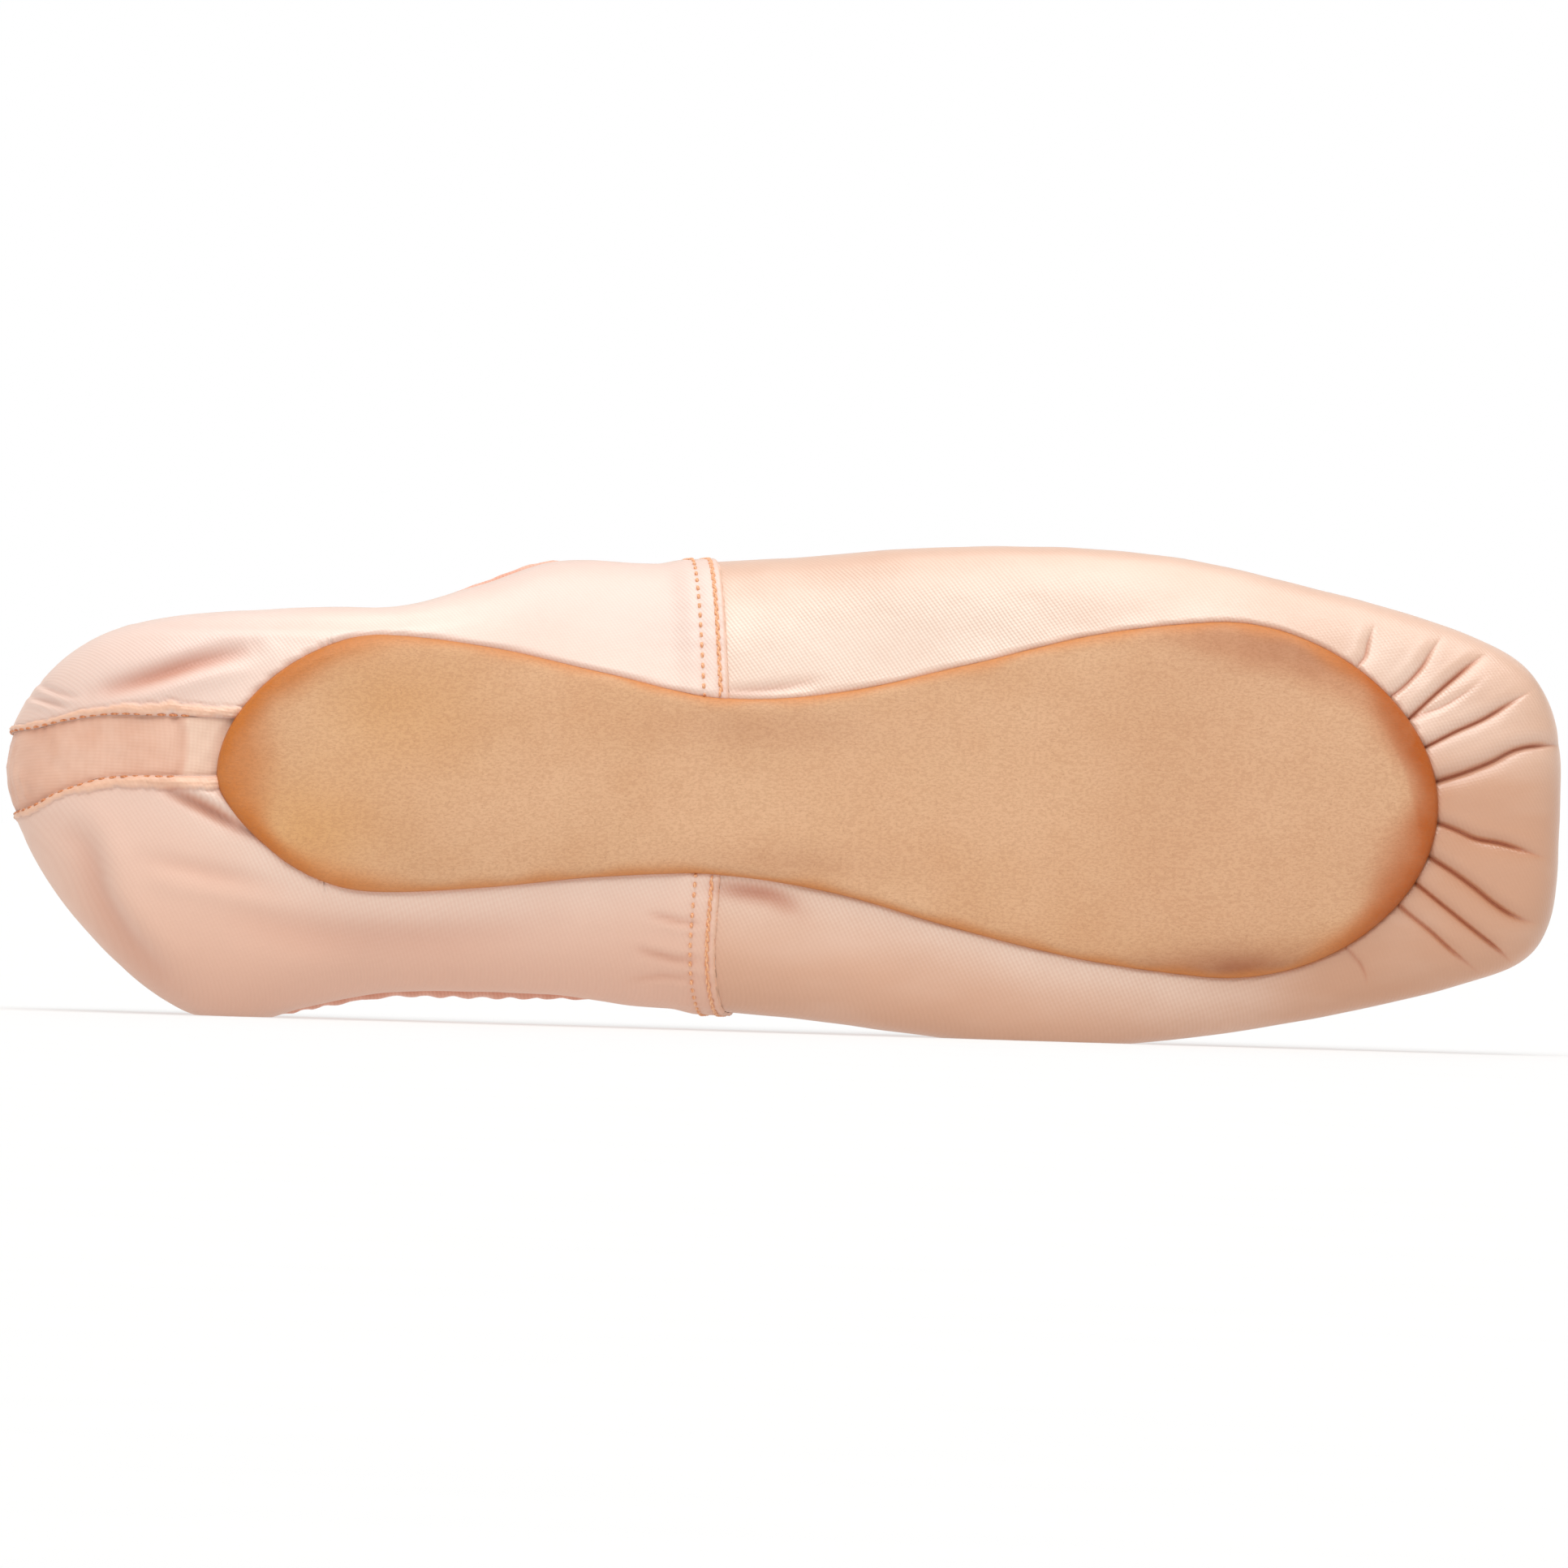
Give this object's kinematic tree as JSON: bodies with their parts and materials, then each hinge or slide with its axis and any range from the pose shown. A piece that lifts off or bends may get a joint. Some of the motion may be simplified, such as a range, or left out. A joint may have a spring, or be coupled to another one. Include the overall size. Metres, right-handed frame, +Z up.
{
  "type": "pointe shoe",
  "caption": "Satin pointe shoe lying on its side, with a hollow upper, stiff box, flat toe platform, open collar and a waisted leather outsole.",
  "frame": {"origin": "on the floor that the shoe lies on, under the middle of its box", "axes": "+X from the heel towards the toe platform, +Y from the outsole towards the collar, +Z up"},
  "size_m": [0.24, 0.057, 0.0763],
  "materials": {
    "satin": "pale peach satin",
    "elastic": "darker peach ribbed elastic",
    "tape": "gathered pink cotton tape",
    "leather": "tan leather, burnished at the edge",
    "canvas": "cream lining cloth"
  },
  "bodies": {
    "root": {"upper": "satin", "heel_strip": "elastic", "collar_binding": "tape", "outsole": "leather", "insole": "canvas"}
  },
  "joints": []
}
